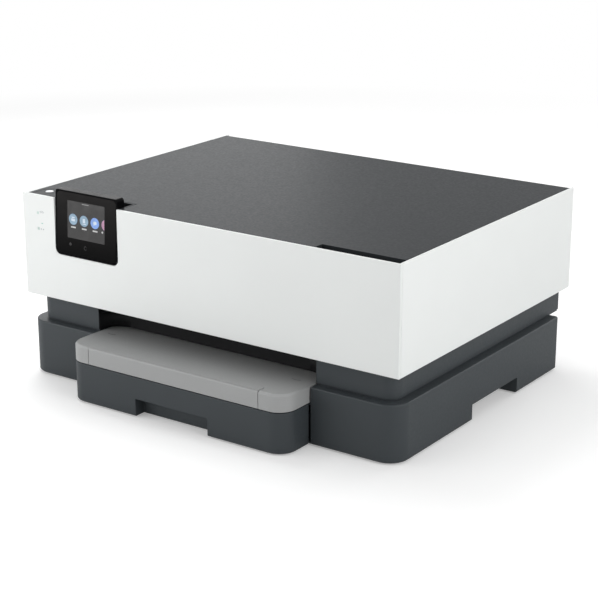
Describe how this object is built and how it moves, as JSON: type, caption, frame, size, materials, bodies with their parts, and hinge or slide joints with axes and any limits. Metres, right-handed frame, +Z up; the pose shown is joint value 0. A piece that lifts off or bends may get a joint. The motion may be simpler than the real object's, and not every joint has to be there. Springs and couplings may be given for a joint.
{
  "type": "inkjet printer",
  "caption": "Desktop inkjet printer with a slide-out paper cassette, an extending output tray, a tilting touch panel and a lifting top cover over the print carriage.",
  "frame": {"origin": "on the table under the middle of the overall box", "axes": "+X to the printer's right, +Y to its back, +Z up"},
  "size_m": [0.439, 0.3696, 0.197],
  "materials": {
    "white_shell": "fine satin white moulding",
    "dark_base": "dark slate satin moulding",
    "cover_slate": "dark slate satin moulding, a little smoother",
    "tray_grey": "mid grey satin moulding",
    "black_plastic": "black matte moulding",
    "gloss_black": "gloss black",
    "screen_glass": "black glass over the display",
    "button_silver": "pale silver",
    "light_lens": "milky lens",
    "rubber": "dark rubber",
    "grey_rubber": "grey roller rubber",
    "steel": "zinc-plated sheet",
    "ground_steel": "ground and polished",
    "gear_nylon": "natural nylon",
    "pinion_brass": "turned",
    "clear_film": "clear film with fine lines",
    "motor_steel": "drawn can",
    "circuit_board": "green solder mask",
    "socket_metal": "plated shield",
    "cartridge_black": "black moulding with a coloured label",
    "cartridge_cyan": "black moulding with a coloured label",
    "cartridge_magenta": "black moulding with a coloured label",
    "cartridge_yellow": "black moulding with a coloured label"
  },
  "bodies": {
    "printer": {"lower_base": "dark_base", "rubber_feet": "rubber", "mid_frame": "dark_base", "front_panel": "white_shell", "upper_casing": "white_shell", "rear_panel": "white_shell", "inner_bezel": "cover_slate", "status_lights": "light_lens", "output_tray": "tray_grey", "side_plates": "steel", "carriage_beam": "steel", "guide_rod": "ground_steel", "encoder_strip": "clear_film", "timing_belt": "rubber", "carriage_motor": "motor_steel", "feed_motor": "motor_steel", "pinch_bracket": "black_plastic", "star_holder": "black_plastic", "platen": "black_plastic", "paper_guide": "black_plastic", "service_tray": "black_plastic", "power_supply": "black_plastic", "mains_inlet": "black_plastic", "logic_board": "circuit_board", "rear_sockets": "socket_metal"},
    "cover": {"top_cover": "cover_slate"},
    "panel": {"control_panel": "gloss_black", "touch_screen": "screen_glass"},
    "button": {"power_button": "button_silver"},
    "extension": {"tray_extension": "tray_grey"},
    "drawer": {"cassette": "dark_base", "separation_pad": "grey_rubber"},
    "left_guide": {"left_width_guide": "black_plastic"},
    "right_guide": {"right_width_guide": "black_plastic"},
    "pinion": {"guide_pinion": "gear_nylon"},
    "end_guide": {"length_guide": "black_plastic"},
    "feed_shaft": {"feed_roller": "ground_steel", "feed_gear": "gear_nylon"},
    "idler": {"idler_gear": "gear_nylon"},
    "exit_shaft": {"exit_roller": "grey_rubber", "exit_gear": "gear_nylon"},
    "motor_shaft": {"motor_pinion": "pinion_brass"},
    "pinch_axle": {"pinch_rollers": "grey_rubber"},
    "star_axle": {"star_wheels": "ground_steel"},
    "carriage": {"carriage": "black_plastic", "print_head": "black_plastic"},
    "yellow": {"yellow_cartridge": "cartridge_yellow"},
    "cyan": {"cyan_cartridge": "cartridge_cyan"},
    "magenta": {"magenta_cartridge": "cartridge_magenta"},
    "black": {"black_cartridge": "cartridge_black"},
    "motor_pulley": {"drive_pulley": "gear_nylon"},
    "end_pulley": {"idler_pulley": "gear_nylon"},
    "pick_drive": {"pick_shaft": "ground_steel"},
    "pick_swing": {"pick_arm": "black_plastic"},
    "pick_tyres": {"pick_roller": "grey_rubber"},
    "turn_shaft": {"turn_roller": "grey_rubber"},
    "sled": {"service_sled": "black_plastic", "caps_and_wiper": "rubber"},
    "door": {"rear_door": "white_shell"}
  },
  "joints": [
    {"name": "cover_hinge", "type": "hinge", "parent": "printer", "child": "cover", "pos_m": [0, 0.17725, 0.1805], "axis": [-1, 0, 0], "range_deg": [0, 65]},
    {"name": "panel_tilt", "type": "hinge", "parent": "printer", "child": "panel", "pos_m": [-0.13775, -0.13875, 0.185], "axis": [-1, 0, 0], "range_deg": [0, 45]},
    {"name": "power_button_press", "type": "slide", "parent": "printer", "child": "button", "axis": [0, 0, -1], "range_m": [0, 0.001], "stiffness_N_per_m": 300},
    {"name": "tray_extension_slide", "type": "slide", "parent": "printer", "child": "extension", "axis": [0, -1, 0], "range_m": [0, 0.085]},
    {"name": "cassette_slide", "type": "slide", "parent": "printer", "child": "drawer", "axis": [0, -1, 0], "range_m": [0, 0.25]},
    {"name": "left_guide_slide", "type": "slide", "parent": "drawer", "child": "left_guide", "axis": [1, 0, 0], "range_m": [0, 0.04]},
    {"name": "right_guide_slide", "type": "slide", "parent": "drawer", "child": "right_guide", "axis": [-1, 0, 0], "range_m": [0, 0.04]},
    {"name": "guide_pinion_spin", "type": "hinge", "parent": "drawer", "child": "pinion", "pos_m": [-0.003, -0.03025, 0.0068], "axis": [0, 0, 1], "range_deg": [-255, 0]},
    {"name": "length_guide_slide", "type": "slide", "parent": "drawer", "child": "end_guide", "axis": [0, 1, 0], "range_m": [0, 0.085]},
    {"name": "feed_roller_spin", "type": "hinge", "parent": "printer", "child": "feed_shaft", "pos_m": [0, 0.04375, 0.0855], "axis": [1, 0, 0], "continuous": true},
    {"name": "idler_gear_spin", "type": "hinge", "parent": "printer", "child": "idler", "pos_m": [-0.197, 0.00333, 0.09692], "axis": [1, 0, 0], "continuous": true},
    {"name": "exit_roller_spin", "type": "hinge", "parent": "printer", "child": "exit_shaft", "pos_m": [0, -0.03425, 0.0865], "axis": [1, 0, 0], "continuous": true},
    {"name": "motor_pinion_spin", "type": "hinge", "parent": "printer", "child": "motor_shaft", "pos_m": [-0.197, 0.06771, 0.07678], "axis": [1, 0, 0], "continuous": true},
    {"name": "pinch_roller_spin", "type": "hinge", "parent": "printer", "child": "pinch_axle", "pos_m": [0, 0.04675, 0.0953], "axis": [1, 0, 0], "continuous": true},
    {"name": "star_wheel_spin", "type": "hinge", "parent": "printer", "child": "star_axle", "pos_m": [0, -0.03425, 0.0958], "axis": [1, 0, 0], "continuous": true},
    {"name": "carriage_slide", "type": "slide", "parent": "printer", "child": "carriage", "axis": [-1, 0, 0], "range_m": [0, 0.265]},
    {"name": "yellow_cartridge_slide", "type": "slide", "parent": "carriage", "child": "yellow", "axis": [0, -1, 0], "range_m": [0, 0.07]},
    {"name": "cyan_cartridge_slide", "type": "slide", "parent": "carriage", "child": "cyan", "axis": [0, -1, 0], "range_m": [0, 0.07]},
    {"name": "magenta_cartridge_slide", "type": "slide", "parent": "carriage", "child": "magenta", "axis": [0, -1, 0], "range_m": [0, 0.07]},
    {"name": "black_cartridge_slide", "type": "slide", "parent": "carriage", "child": "black", "axis": [0, -1, 0], "range_m": [0, 0.07]},
    {"name": "drive_pulley_spin", "type": "hinge", "parent": "printer", "child": "motor_pulley", "pos_m": [-0.181, 0.07025, 0.1295], "axis": [0, 0, 1], "range_deg": [-2201, 0]},
    {"name": "idler_pulley_spin", "type": "hinge", "parent": "printer", "child": "end_pulley", "pos_m": [0.181, 0.07025, 0.1295], "axis": [0, 0, 1], "range_deg": [-2201, 0]},
    {"name": "pick_shaft_spin", "type": "hinge", "parent": "printer", "child": "pick_drive", "pos_m": [-0.003, 0.06175, 0.049], "axis": [1, 0, 0], "continuous": true},
    {"name": "pick_arm_swing", "type": "hinge", "parent": "printer", "child": "pick_swing", "pos_m": [-0.003, 0.06175, 0.049], "axis": [-1, 0, 0], "range_deg": [0, 38]},
    {"name": "pick_roller_spin", "type": "hinge", "parent": "pick_swing", "child": "pick_tyres", "pos_m": [-0.003, 0.09575, 0.046], "axis": [1, 0, 0], "continuous": true},
    {"name": "turn_roller_spin", "type": "hinge", "parent": "printer", "child": "turn_shaft", "pos_m": [-0.003, 0.11775, 0.063], "axis": [1, 0, 0], "continuous": true},
    {"name": "service_sled_slide", "type": "slide", "parent": "printer", "child": "sled", "axis": [0, -1, 0], "range_m": [0, 0.018]},
    {"name": "rear_door_hinge", "type": "hinge", "parent": "printer", "child": "door", "pos_m": [-0.003, 0.18175, 0.095], "axis": [-1, 0, 0], "range_deg": [0, 80]}
  ],
  "couplings": [
    {"joint": "right_guide_slide", "follows": "left_guide_slide", "ratio": 1},
    {"joint": "guide_pinion_spin", "follows": "left_guide_slide", "rad_per_m": -111.11},
    {"joint": "idler_gear_spin", "follows": "feed_roller_spin", "ratio": -0.75},
    {"joint": "exit_roller_spin", "follows": "feed_roller_spin", "ratio": 1.2},
    {"joint": "motor_pinion_spin", "follows": "feed_roller_spin", "ratio": -2.4},
    {"joint": "drive_pulley_spin", "follows": "carriage_slide", "rad_per_m": -144.93},
    {"joint": "idler_pulley_spin", "follows": "carriage_slide", "rad_per_m": -144.93}
  ]
}
